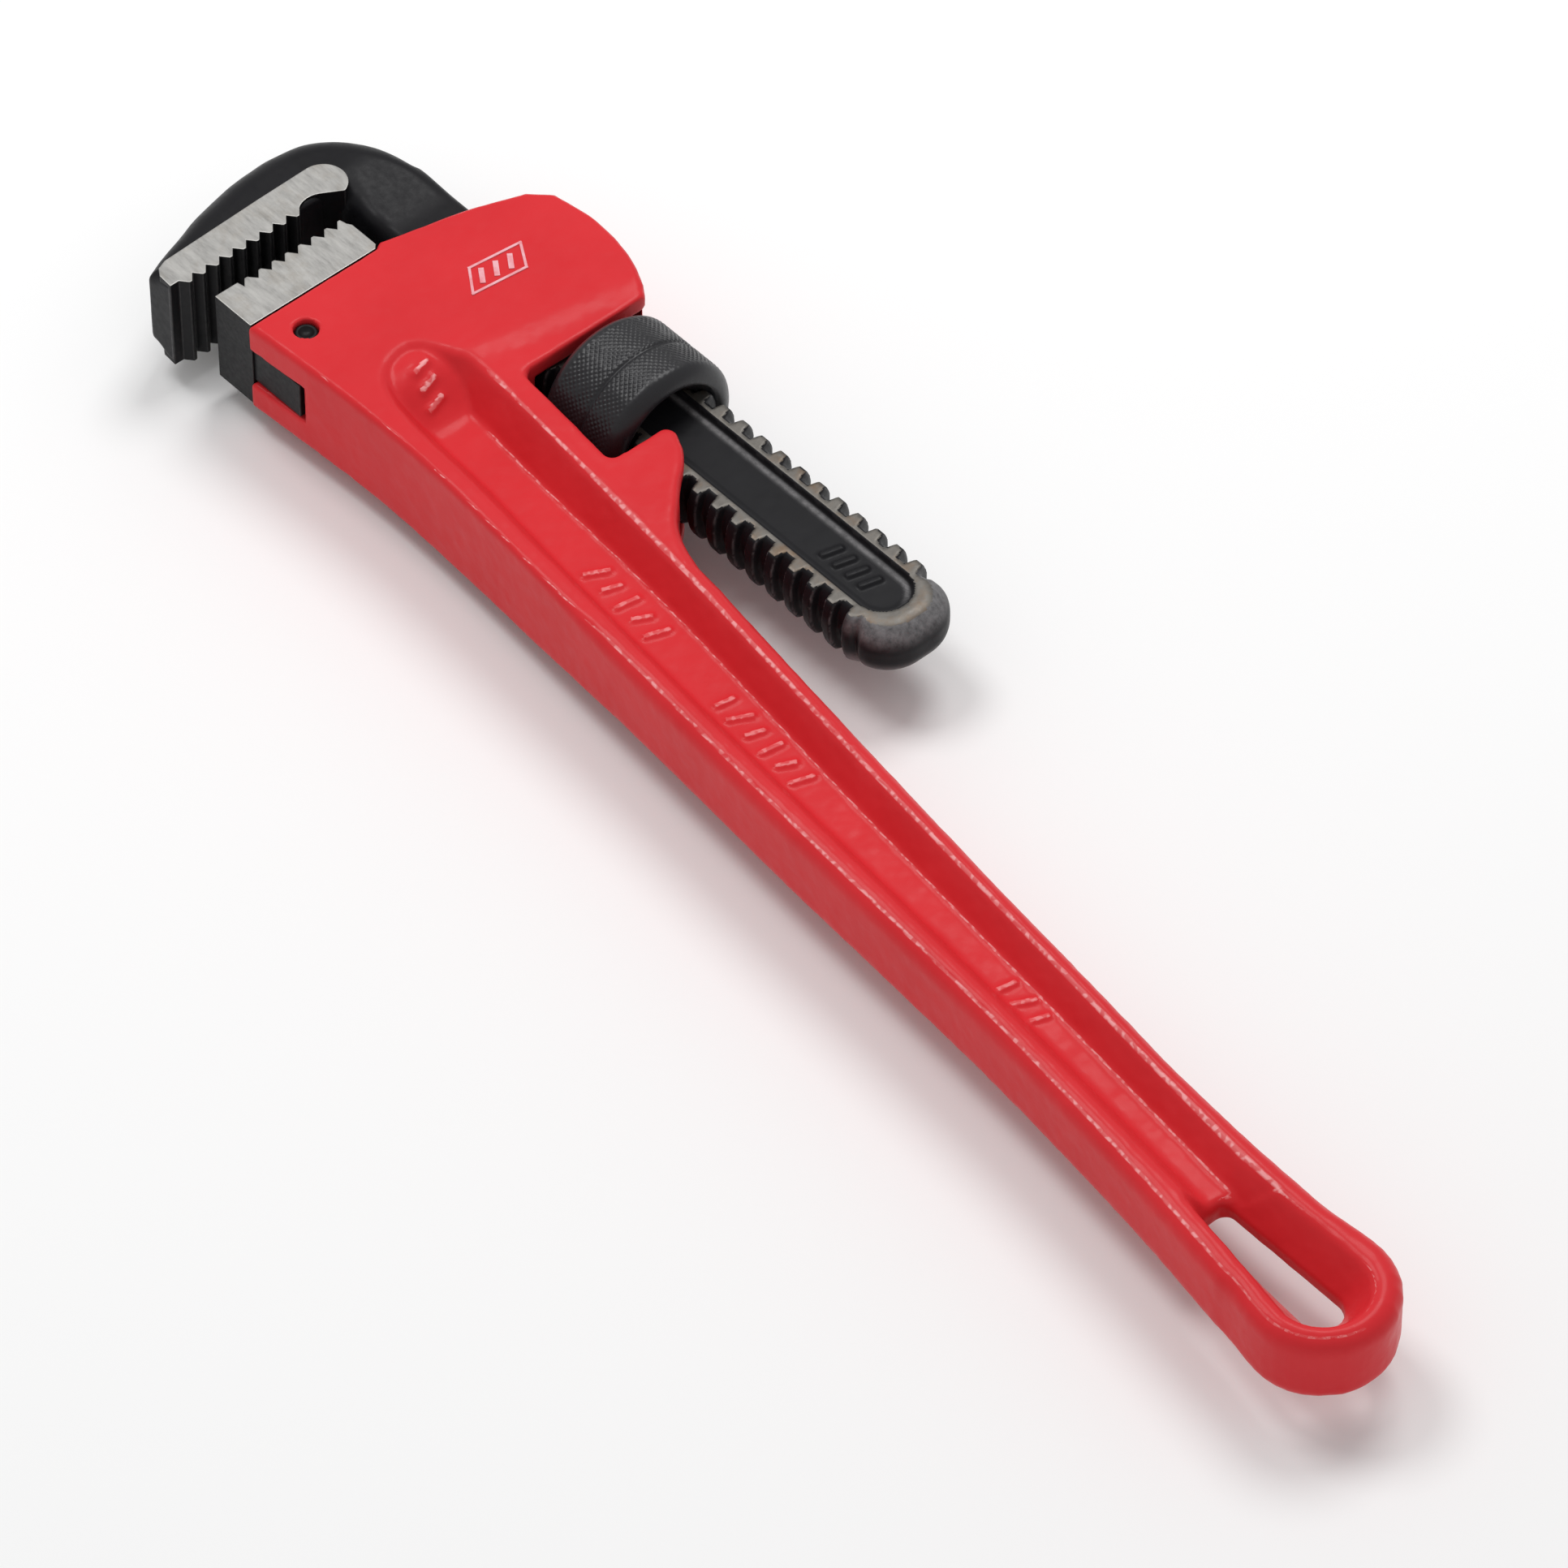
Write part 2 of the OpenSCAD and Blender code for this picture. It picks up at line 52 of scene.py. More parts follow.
def curve(points, steps):
    """Smooth curve through the points, with that many steps between two of them."""
    p = np.array(points, float)
    out = []
    for i in range(len(p) - 1):
        a, b, c, d = p[max(i - 1, 0)], p[i], p[i + 1], p[min(i + 2, len(p) - 1)]
        for t in np.arange(steps) / steps:
            out.append(0.5 * (2 * b + (c - a) * t + (2 * a - 5 * b + 4 * c - d) * t * t
                              + (3 * b - a - 3 * c + d) * t ** 3))
    out.append(p[-1])
    return [tuple(q) for q in out]


def arc(cx, cy, r, a0, a1, steps):
    """Points on an arc from angle a0 to a1, in degrees."""
    angles = np.radians(np.linspace(a0, a1, steps + 1))
    return [(cx + r * math.cos(a), cy + r * math.sin(a)) for a in angles]


def ease(t):
    """0 to 1 as t goes from 0 to 1, with a soft start and end."""
    s = np.clip(t, 0, 1)
    return s * s * (3 - 2 * s)


def mix(a, b, t):
    return a + (b - a) * t


def smooth_max(a, b, k):
    """The larger of two distances, with a fillet of about size k where they meet."""
    h = np.maximum(k - np.abs(a - b), 0) / k
    return np.maximum(a, b) + h * h * k * 0.25


def smooth_min(a, b, k):
    return -smooth_max(-a, -b, k)


def outline_distance(x, y, outline):
    """Signed distance to a closed outline, negative inside."""
    x, y = np.broadcast_arrays(np.asarray(x, float), np.asarray(y, float))
    best = np.full(x.shape, 1e12)
    inside = np.zeros(x.shape, bool)
    p = np.array(outline, float)
    for (ax, ay), (bx, by) in zip(p, np.roll(p, -1, axis=0)):
        ex, ey = bx - ax, by - ay
        length2 = ex * ex + ey * ey
        if length2 < 1e-12:
            continue
        wx, wy = x - ax, y - ay
        t = np.clip((wx * ex + wy * ey) / length2, 0, 1)
        best = np.minimum(best, (wx - ex * t) ** 2 + (wy - ey * t) ** 2)
        if ey != 0:
            inside ^= ((ay > y) != (by > y)) & (x < ax + ex * (y - ay) / ey)
    return np.where(inside, -1, 1) * np.sqrt(best)


def extruded(d, z, half, r):
    """Field of an outline at distance d, given a thickness and rounded edges."""
    q = d + r
    w = np.abs(z) - (half - r)
    return np.minimum(np.maximum(q, w), 0) + np.hypot(np.maximum(q, 0), np.maximum(w, 0)) - r


def box_field(x, y, z, low, high):
    """Distance to a box between two opposite corners, negative inside."""
    return np.maximum(np.maximum(np.maximum(low[0] - x, x - high[0]),
                                 np.maximum(low[1] - y, y - high[1])),
                      np.maximum(low[2] - z, z - high[2]))


def lattice(ix, iy, iz):
    """A fixed number from 0 to 1 for each lattice point."""
    h = (ix * 73856093) ^ (iy * 19349663) ^ (iz * 83492791)
    h = (h ^ (h >> 13)) * 1274126177
    return ((h ^ (h >> 16)) & 0xFFFF) / 65535.0


def lumps(x, y, z, size):
    """Smooth noise from -1 to 1 with lumps of about that size."""
    x, y, z = np.broadcast_arrays(x / size, y / size, z / size)
    fx, fy, fz = np.floor(x), np.floor(y), np.floor(z)
    tx, ty, tz = (ease(v - f) for v, f in ((x, fx), (y, fy), (z, fz)))
    ix, iy, iz = fx.astype(np.int64), fy.astype(np.int64), fz.astype(np.int64)
    total = 0
    for dx in (0, 1):
        for dy in (0, 1):
            for dz in (0, 1):
                weight = (tx if dx else 1 - tx) * (ty if dy else 1 - ty) * (tz if dz else 1 - tz)
                total = total + weight * lattice(ix + dx, iy + dy, iz + dz)
    return total * 2 - 1


# ---------------------------------------------------------------- meshes

# The twelve edges of a cell, each by the numbers of its two corners.
EDGES = ((0, 1), (2, 3), (4, 5), (6, 7), (0, 2), (1, 3), (4, 6), (5, 7), (0, 4), (1, 5), (2, 6), (3, 7))


def net(field, low, high, cell, pulls=2):
    """Quads on the zero level of a field, each vertex pulled onto it. Returns vertices and faces."""
    low, high = np.array(low, float), np.array(high, float)
    count = np.ceil((high - low) / cell).astype(int) + 1
    ax = [low[i] + cell * np.arange(count[i]) for i in range(3)]
    y, z = ax[1][None, :, None], ax[2][None, None, :]
    values = np.empty(count, np.float32)
    for i in range(0, count[0], 24):
        values[i:i + 24] = field(ax[0][i:i + 24][:, None, None], y, z)
    solid = values < 0
    seen = sum(solid[dx:count[0] - 1 + dx, dy:count[1] - 1 + dy, dz:count[2] - 1 + dz].astype(np.int8)
               for dx in (0, 1) for dy in (0, 1) for dz in (0, 1))
    cells = np.argwhere((seen > 0) & (seen < 8))
    number = np.full(count - 1, -1, np.int32)
    number[tuple(cells.T)] = np.arange(len(cells))
    corners = np.array([(c >> 2 & 1, c >> 1 & 1, c & 1) for c in range(8)])
    v = np.stack([values[tuple((cells + c).T)] for c in corners], axis=1)
    place, hits = np.zeros((len(cells), 3)), np.zeros(len(cells))
    for a, b in EDGES:
        cross = (v[:, a] < 0) != (v[:, b] < 0)
        t = np.where(cross, v[:, a] / np.where(cross, v[:, a] - v[:, b], 1), 0)
        place += cross[:, None] * (corners[a] + (corners[b] - corners[a]) * t[:, None])
        hits += cross
    verts = low + (cells + place / hits[:, None]) * cell
    faces = []
    for axis in range(3):
        u, w = (axis + 1) % 3, (axis + 2) % 3
        head = [slice(None)] * 3
        tail = [slice(None)] * 3
        head[axis], tail[axis] = slice(0, -1), slice(1, None)
        flips = solid[tuple(head)] != solid[tuple(tail)]
        at = np.argwhere(flips)
        at = at[(at[:, u] > 0) & (at[:, w] > 0) & (at[:, u] < count[u] - 1) & (at[:, w] < count[w] - 1)]
        outward = solid[tuple(at.T)]
        step_u, step_w = np.zeros(3, int), np.zeros(3, int)
        step_u[u], step_w[w] = 1, 1
        quad = np.stack([number[tuple((at - s).T)] for s in (step_u + step_w, step_w, 0 * step_u, step_u)],
                        axis=1)
        faces.append(np.where(outward[:, None], quad, quad[:, ::-1]))
    for _ in range(pulls):
        x, y, z = verts.T
        f0, h = field(x, y, z), 0.02
        slope = np.stack([field(x + h, y, z) - f0, field(x, y + h, z) - f0, field(x, y, z + h) - f0],
                         axis=1) / h
        move = -(f0 / np.maximum((slope ** 2).sum(axis=1), 0.05))[:, None] * slope
        size = np.linalg.norm(move, axis=1, keepdims=True)
        verts = verts + move * np.minimum(1, 0.45 * cell / np.maximum(size, 1e-9))
    return verts, np.concatenate(faces)


def add_piece(name, mesh, body, materials, replaces=(), pick=None):
    """The mesh as an object riding on a body. pick gives each face's material from centre and normal."""
    for material in materials:
        mesh.materials.append(material)
    if pick is not None:
        normals = np.array([p.normal for p in mesh.polygons])
        centres = np.array([p.center for p in mesh.polygons]) * 1000 - SHIFT
        mesh.polygons.foreach_set("material_index", pick(centres, normals).astype(np.int32))
    obj = bpy.data.objects.new(name, mesh)
    scene.collection.objects.link(obj)
    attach(obj, body)
    if replaces:
        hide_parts(*replaces)
    return obj


def smooth_piece(name, verts, faces, body, materials, replaces=(), pick=None):
    """A smoothly shaded piece from points in millimetres."""
    mesh = bpy.data.meshes.new(name)
    points = (np.asarray(verts, float) + SHIFT) * MM
    mesh.from_pydata(points.tolist(), [], [list(map(int, f)) for f in faces])
    mesh.update()
    mesh.shade_smooth()
    return add_piece(name, mesh, body, materials, replaces, pick)


def face_outwards(obj):
    bm = bmesh.new()
    bm.from_mesh(obj.data)
    bmesh.ops.recalc_face_normals(bm, faces=bm.faces)
    bm.to_mesh(obj.data)
    bm.free()


# ---------------------------------------------------------------- materials

def shader(name):
    """A new material: itself, its node tree, its Principled shader and a helper that adds nodes.

    In the helper's values, in_ stands before the name of an input socket.
    """
    mat = bpy.data.materials.new(name)
    mat.use_nodes = True
    tree = mat.node_tree
    bsdf = tree.nodes["Principled BSDF"]

    def add(kind, links=(), **values):
        node = tree.nodes.new(kind)
        for key, value in values.items():
            if key.startswith("in_"):
                node.inputs[key[3:].replace("_", " ")].default_value = value
            else:
                setattr(node, key, value)
        for socket, source in links:
            tree.links.new(source, node.inputs[socket])
        return node

    return mat, tree, bsdf, add


def ramp(add, source, stops):
    """Colour ramp with a stop for each pair of place and colour."""
    node = add("ShaderNodeValToRGB", [("Fac", source)])
    elements = node.color_ramp.elements
    while len(elements) < len(stops):
        elements.new(0.5)
    for element, (place, color) in zip(elements, stops):
        element.position = place
        element.color = (*color, 1)
    return node.outputs["Color"]


def grey(v):
    return (v, v, v)


def noise(add, size, detail=2.0, roughness=0.5, stretch=(1, 1, 1)):
    """Noise in the piece's own metres, with features of about that size in millimetres."""
    place = add("ShaderNodeTexCoord").outputs["Object"]
    scaled = add("ShaderNodeMapping", [("Vector", place)])
    scaled.inputs["Scale"].default_value = stretch
    node = add("ShaderNodeTexNoise", [("Vector", scaled.outputs["Vector"])], in_Scale=1000.0 / size,
               in_Detail=detail, in_Roughness=roughness)
    return node.outputs["Fac"]


def math_node(add, kind, a, b):
    """The sum, product or the like of two numbers or sockets."""
    node = add("ShaderNodeMath", operation=kind)
    for i, v in enumerate((a, b)):
        if isinstance(v, (int, float)):
            node.inputs[i].default_value = v
        else:
            node.id_data.links.new(v, node.inputs[i])
    return node.outputs[0]


def red_paint():
    """Thick red paint with orange peel, with pale pink painted glints in spots where the edge attribute is
    high.
    """
    mat, tree, bsdf, add = shader("red_paint")
    fine, broad, pits = noise(add, 0.9, 3.0, 0.6), noise(add, 22.0, 3.0, 0.55), noise(add, 3.2, 2.0)
    edge = add("ShaderNodeAttribute", attribute_name="edge").outputs["Fac"]
    # painted highlights: pale pink spots where the edge attribute marks a glint line
    spots = ramp(add, noise(add, 0.95, 0.0), [(0.46, grey(0.3)), (0.6, grey(1))])
    glint = math_node(add, "MULTIPLY", ramp(add, edge, [(0.72, grey(0)), (0.95, grey(1))]), spots)
    base = ramp(add, broad, [(0.3, (0.61, 0.023, 0.029)), (0.7, (0.66, 0.028, 0.035))])
    blend = add("ShaderNodeMixRGB", [("Fac", math_node(add, "MULTIPLY", glint, 0.62)), ("Color1", base)])
    blend.inputs["Color2"].default_value = (1.0, 0.55, 0.55, 1)
    tree.links.new(blend.outputs["Color"], bsdf.inputs["Base Color"])
    rough = ramp(add, pits, [(0.3, grey(0.3)), (0.75, grey(0.42))])
    tree.links.new(rough, bsdf.inputs["Roughness"])
    height = math_node(add, "ADD", math_node(add, "MULTIPLY", fine, 0.35), pits)
    bump = add("ShaderNodeBump", [("Height", height)], in_Strength=0.25, in_Distance=0.00022)
    tree.links.new(bump.outputs["Normal"], bsdf.inputs["Normal"])
    bsdf.inputs["Specular IOR Level"].default_value = 0.1
    bsdf.inputs["Coat Weight"].default_value = 0.08
    bsdf.inputs["Coat Roughness"].default_value = 0.16
    return mat


def black_oxide(name, base, rough, bump_size, bump_height, wear_and_highlight=(0.13, 0.105, 0.085), shine=0.18):
    """Blackened forged steel: mottled, rubbed bare where the edge attribute is high. On the forging, that
    attribute and this pale colour also paint highlights.
    """
    mat, tree, bsdf, add = shader(name)
    broad, fine = noise(add, 9.0, 4.0, 0.6), noise(add, bump_size, 4.0, 0.65)
    dark = ramp(add, broad, [(0.3, tuple(base * k for k in (0.85, 0.83, 0.98))),
                             (0.7, tuple(base * k for k in (1.15, 1.12, 1.3)))])
    wear = add("ShaderNodeAttribute", attribute_name="edge").outputs["Fac"]
    spots = ramp(add, noise(add, 1.3, 4.0, 0.7), [(0.3, grey(0.4)), (0.62, grey(1))])
    # real edge wear, and on the forging painted highlights as well
    rub = math_node(add, "MULTIPLY", wear, spots)
    blend = add("ShaderNodeMixRGB", [("Fac", rub), ("Color1", dark)])
    blend.inputs["Color2"].default_value = (*wear_and_highlight, 1)
    tree.links.new(blend.outputs["Color"], bsdf.inputs["Base Color"])
    tree.links.new(ramp(add, fine, [(0.3, grey(rough - 0.07)), (0.7, grey(rough + 0.08))]),
                   bsdf.inputs["Roughness"])
    bump = add("ShaderNodeBump", [("Height", fine)], in_Strength=0.5, in_Distance=bump_height)
    tree.links.new(bump.outputs["Normal"], bsdf.inputs["Normal"])
    bsdf.inputs["Specular IOR Level"].default_value = shine
    return mat


def ground_steel(name, tone, grain, tint=(1.0, 0.98, 0.94), stained=0.45, rust=(0.72, 0.62, 0.5)):
    """Bare steel with grinding marks across X, stained brown in places."""
    mat, tree, bsdf, add = shader(name)
    lines = noise(add, 1.0, 4.0, 0.7, stretch=grain)
    blotch = noise(add, 5.0, 4.0, 0.65)
    shade = ramp(add, lines, [(0.3, tuple(tone * 0.8 * k for k in tint)),
                              (0.7, tuple(tone * 1.12 * k for k in tint))])
    stain = add("ShaderNodeMixRGB", [("Fac", ramp(add, blotch, [(0.5, grey(0)), (0.72, grey(stained))])),
                                     ("Color1", shade)])
    stain.inputs["Color2"].default_value = (*(tone * k for k in rust), 1)
    tree.links.new(stain.outputs["Color"], bsdf.inputs["Base Color"])
    tree.links.new(ramp(add, lines, [(0.3, grey(0.36)), (0.7, grey(0.55))]), bsdf.inputs["Roughness"])
    bump = add("ShaderNodeBump", [("Height", lines)], in_Strength=0.35, in_Distance=0.00005)
    tree.links.new(bump.outputs["Normal"], bsdf.inputs["Normal"])
    bsdf.inputs["Metallic"].default_value = 0.75
    return mat


RED = red_paint()
# The forging's pale wear colour also makes the painted highlights on the panel's bead and round the shank's
# end.
FORGED = black_oxide("forged_black", 0.0095, 0.4, 1.3, 0.00002, wear_and_highlight=(0.19, 0.184, 0.188), shine=0.13)
CAST_BLACK = black_oxide("machined_black", 0.014, 0.33, 0.7, 0.00005, shine=0.36)
# Darker than the forging: partly the teeth's own black, partly painted shade for the gap between the jaws
# and the pin's hollow ends.
TOOTH_BLACK_AND_SHADE = black_oxide("tooth_black", 0.006, 0.45, 0.9, 0.00004, wear_and_highlight=(0.05, 0.05, 0.05))
STRIP = ground_steel("ground_strip", 0.36, (0.22, 1.0, 1.0))
RIM = ground_steel("worn_rim", 0.135, (1.0, 0.6, 1.0), tint=(1.0, 0.93, 0.84), stained=0.9,
                   rust=(1.0, 0.68, 0.44))
SPRING = ground_steel("spring_steel", 0.3, (1.0, 1.0, 1.0), tint=(0.95, 0.97, 1.0))


# ---------------------------------------------------------------- handle casting

# Both long edges of the grip, from the housing to END_X, where the round end begins.
NEAR = [(8.9, -39.9), (20, -39.2), (34, -38.5), (50, -38.6), (71, -40), (92, -41.9), (118, -44.2),
        (143, -46.3), (168, -48), (194, -49.9), (214, -52), (234, -54.5), (252, -57.4)]
FAR = [(60, -16.5), (80, -18), (101, -20), (125, -23), (149, -26), (174, -28.9), (199, -31.5),
       (220, -33.8), (239, -35), (252, -35.3)]
END_X, END_R = 252, 12.3
END_C = (275.8 - END_R, -59.1 + END_R)
# Half the casting's thickness at places along it.
HALF_AT = [(0, 9.5), (55, 9.48), (88, 8.48), (120, 8), (150, 7.8), (185, 7.38), (220, 7.1), (300, 7.1)]
# The adjusting nut's middle, the heel jaw's pin and the coil spring.
NUT_X = 57.4
PIN_X, PIN_Y = 15.6, -33.3
COIL_X = 20
# Openings in the casting: opposite corners of boxes, then radii and half lengths.
TUNNEL = (-9, -10.7, -5.6), (51.2, 12.6, 5.6)
HORN_SLOT = (67.9, -11.3, -5.6), (98, 20, 5.6)
TONGUE_SLOT = (-9, -60, -3.75), (21.3, -26.2, 3.75)
LEAF_GROOVE = (-9, 11, -4.7), (46, 13.7, 4.7)
NUT_ROOM_R, NUT_ROOM_HALF = 14.5, 11.7
PIN_BORE_R = 2.05
COIL_POCKET_Y, COIL_POCKET_R, COIL_POCKET_HALF = -14.6, 4.0, 6.9


def half_at(x):
    """Half the casting's thickness at x."""
    return np.interp(x, *zip(*HALF_AT))


def end_of_grip():
    """The round end, from the near edge round to the far edge."""
    out = []
    near, far = curve(NEAR, 4), curve(FAR, 4)
    for x in np.linspace(END_X, 274.6, 12):
        spread = END_R * math.sqrt(max(0, 1 - (max(0, x - END_C[0]) / END_R) ** 2))
        t = float(ease((x - END_X) / 12))
        out.append((x, mix(near[-1][1], END_C[1] - spread, t), mix(far[-1][1], END_C[1] + spread, t)))
    low = [(x, a) for x, a, b in out]
    high = [(x, b) for x, a, b in out][::-1]
    return low, arc(END_C[0], END_C[1], END_R, -25, 25, 8), high


def handle_outline():
    """Side view of the casting, along the grip and its round end and back over the housing."""
    low, tip, high = end_of_grip()
    far = [q for q in curve(FAR, 4)[::-1] if q[0] > 97]
    horn = curve([(95.5, -19.65), (90.5, -18.4), (86.3, -16.3), (83.2, -13.4), (80.4, -10.8), (77.2, -7.2),
                  (74.4, -4.9)], 5) + arc(71, -5.6, 2.1, 70, 180, 8)
    window = arc(67.4, -13.7, 1.5, 0, -90, 5) + arc(47.4, -12, 1.5, 270, 180, 5) + [(46.8, 11.7)]
    roof = curve([(43.4, 14), (37.8, 16.3), (32, 17.5), (26, 17.75), (18.6, 16.6)], 6)
    mouth = curve([(15.2, 13.2), (13.4, 8.4), (11.5, 3), (9.9, -4), (8, -11.9)], 5) + [(8.9, -13.2)]
    return curve(NEAR, 4)[:-1] + low + tip + high + far[1:] + horn + window + roof + mouth


# Edges of the recess in each face, and of the hang slot half way through and at the faces.
RECESS_FAR = [(29.2, -23.6), (30.8, -21.4), (34.5, -19.2), (38.5, -17.4), (44, -17.4), (50, -18),
              (72, -20.5), (101, -23.4), (144, -28.7), (200, -34.8), (241, -39.2), (246, -39.7)]
RECESS_NEAR = [(29.2, -25.8), (30.6, -29.2), (34.4, -32.3), (42, -34.2), (57, -35.2), (86, -37.5),
               (114, -39.9), (143, -42.1), (173, -44.3), (202, -46.7), (241, -50.6), (246, -51.1)]
SLOT_MIDDLE = (arc(241.9, -47.9, 1.6, 180, 270, 4) + arc(264.2, -47.4, 3.6, -90, 90, 16)
               + arc(241.9, -45.4, 1.6, 90, 180, 4))
SLOT_FACE = (arc(239.5, -48.8, 2, 180, 270, 4) + arc(264.2, -47.4, 7.9, -90, 90, 16)
             + arc(239.5, -41.5, 2, 90, 180, 4))
HANDLE = handle_outline()
RECESS = curve(RECESS_NEAR, 5) + curve(RECESS_FAR, 5)[::-1]
# Raised bars that stand for cast words: places along the web, and on the ramp at its head end.
WEB_MARKS = [x for first, last in ((82, 98), (116, 136), (188, 196)) for x in range(first, last + 1, 4)]
RAMP_MARKS = [(33.6, -24.6), (36.2, -25.3), (38.8, -26.0)]


def web_middle(x):
    """The y of the middle of the recess at x."""
    return (np.interp(x, *zip(*RECESS_FAR)) + np.interp(x, *zip(*RECESS_NEAR))) / 2


def bar(x, y, cx, cy, angle, long, wide, r=0.3):
    """Signed distance to a bar with rounded corners, turned by an angle in degrees."""
    c, s = math.cos(math.radians(angle)), math.sin(math.radians(angle))
    u, v = (x - cx) * c + (y - cy) * s, (y - cy) * c - (x - cx) * s
    return np.hypot(np.maximum(np.abs(u) - long / 2 + r, 0), np.maximum(np.abs(v) - wide / 2 + r, 0)) - r


def cast_marks(x, y):
    """Distance to the nearest raised bar of the casting."""
    bars = [bar(x, y, mark, float(web_middle(mark)) - 0.4, 62 + 9 * (k % 3), 5 - k % 2, 1.25)
            for k, mark in enumerate(WEB_MARKS)]
    bars += [bar(x, y, mark_x, mark_y, 104, 4.2, 1.1) for mark_x, mark_y in RAMP_MARKS]
    return np.minimum.reduce(bars)


def handle_field(x, y, z, rough=1.0):
    """The casting; rough=0 leaves out the raised marks and the sand texture."""
    half = half_at(x)
    above = np.abs(z)
    # the housing face steps down a little towards the nut window
    crease = 0.45 * ease((x - 35.4 - 0.19 * (y + 17)) / 5.5) * ease((y + 20) / 3) * ease((84 - x) / 14)
    edge = mix(1.25, 3.2, ease((x - 74) / 36))
    body = extruded(outline_distance(x, y, HANDLE), z, half - crease, edge)
    # the recess: a floor that ramps up at the head end, sloped walls and the raised bars
    dr = outline_distance(x, y, RECESS)
    floor = mix(8.5, 2.5, ease((x - 31) / 13)) + 0.7 * ease(-dr / 3.4) * (1 - ease((x - 34) / 9))
    depth, foot = half - 2.5, mix(4.6, 3.6, ease((x - 50) / 40))
    wall = (dr * depth + foot * (half - above)) / np.hypot(depth, foot)
    raised = 0.48 * rough * ease(0.5 - cast_marks(x, y) / 0.9)
    hollow = smooth_max(wall, floor + raised - above, 0.9)
    out = smooth_max(body, -hollow, 1.1)
    # the hang slot, wider at the faces
    spread = np.maximum(above - 1, 0) / 6.1
    slot = mix(outline_distance(x, y, SLOT_MIDDLE), outline_distance(x, y, SLOT_FACE), spread)
    out = smooth_max(out, -slot / 1.19, 1.0)
    # the openings for the shank, the nut, the heel jaw's tongue and its pin
    out = smooth_max(out, -box_field(x, y, z, *TUNNEL), 0.7)
    out = smooth_max(out, -box_field(x, y, z, *HORN_SLOT), 0.7)
    nut_room = np.maximum(np.hypot(y, z) - NUT_ROOM_R, np.abs(x - NUT_X) - NUT_ROOM_HALF)
    out = smooth_max(out, -nut_room, 0.5)
    out = smooth_max(out, -box_field(x, y, z, *TONGUE_SLOT), 0.5)
    out = smooth_max(out, -(np.hypot(x - PIN_X, y - PIN_Y) - PIN_BORE_R), 0.15)
    # room for the coil spring and the flat spring while the jaw rocks
    pocket = np.maximum(np.hypot(x - COIL_X, z) - COIL_POCKET_R,
                        np.abs(y - COIL_POCKET_Y) - COIL_POCKET_HALF)
    out = smooth_max(out, -pocket, 0.3)
    out = smooth_max(out, -box_field(x, y, z, *LEAF_GROOVE), 0.4)
    return out + 0.08 + rough * (0.045 * lumps(x, y, z, 2.6) + 0.03 * lumps(x + 50, y, z, 1.1))


def field_normals(verts, field, step=0.05):
    """Unit normals of a field's surface at its vertices."""
    x, y, z = verts.T
    n = np.stack([field(x + step, y, z) - field(x - step, y, z),
                  field(x, y + step, z) - field(x, y - step, z),
                  field(x, y, z + step) - field(x, y, z - step)], axis=1)
    return n / np.maximum(np.linalg.norm(n, axis=1, keepdims=True), 1e-9)


def edge_wear(verts, field, size):
    """How far each vertex stands out from the surface around it, from 0 in the flat to 1 on an edge."""
    p = verts - field_normals(verts, field) * size
    return np.clip(1 + field(*p.T) / size, 0, 1)


def painted_glints(verts):
    """Painted highlights: high along the lines where the casting rolls over to a wall that looks to -Y, and
    on the tops of its marks.
    """
    n, (x, y, z) = field_normals(verts, lambda *p: handle_field(*p, rough=0)), verts.T
    dr = outline_distance(x, y, RECESS)
    rim = ease((1.8 - np.abs(dr)) / 0.8)
    lines = np.exp(-((np.abs(n[:, 2]) - 0.86) / mix(0.1, 0.2, rim)) ** 2) * ease((0.1 - n[:, 1]) / 0.2)
    # the painted glints fade out towards the housing, and are fainter round the end of the grip
    lines = lines * mix(1, ease((x - 37) / 6), rim)
    lines = lines * mix(1, 0.86, ease((x - 244) / 10))
    lines = lines * ease(np.maximum((x - 45) / 3, (dr + 1.2) / 0.8)) * ease((x - 22) / 4)
    # painted highlights on the tops of the raised bars
    tops = ease(0.5 - cast_marks(x, y) / 0.5) * mix(0.94, 0.84, ease((x - 40) / 10))
    return np.maximum(lines, tops)


def set_edges(obj, values):
    """Writes the edge attribute that the materials read, one value for each vertex."""
    attribute = obj.data.attributes.new("edge", "FLOAT", "POINT")
    attribute.data.foreach_set("value", np.asarray(values, np.float32))


def build_handle():
    verts, faces = net(handle_field, (6.5, -61, -11), (277.5, 19.5, 11), HANDLE_CELL)
    casting = smooth_piece("handle_casting", verts, faces, "frame", [RED], ["handle"])
    # the edge attribute of the casting holds painted glints
    set_edges(casting, painted_glints(verts))


build_handle()


# ---------------------------------------------------------------- hook jaw

# The screw thread: its pitch, the x of one crest on the shank's +Y side, and its two radii.
PITCH, PHASE = 4.55, 69.66
CREST_R, ROOT_R = 9.5, 7.95
# Side view of the hook: over the neck, round the back to the toe, up the strip and out of the throat.
HEAD = (curve([(20, 5.2), (13, 6.4), (7, 6.8), (2, 6.5), (-5, 6.1), (-11.2, 4.5), (-16.7, 0.6),
               (-20.2, -4.6), (-21.3, -10.5), (-21.35, -14.5), (-20.7, -21), (-18.7, -28.4),
               (-16.1, -34.2), (-13.8, -39.8)], 6)
        + [(-12.2, -43.2), (-6.6, -43.2), (-6.6, -15.5)] + arc(-2.4, -12.1, 4.2, 170, 95, 8)
        + curve([(2.5, -7.9), (7, -7.6), (13, -6.8), (20, -5.2)], 4))
SHANK_HALF = 5
# The sunk panel in both flats of the shank: the middles of its round ends, its radius and its depth.
PANEL = 52, 115.8, 4.95
PANEL_FLOOR = 3.75
PANEL_MARKS = (104, 107, 110, 113)
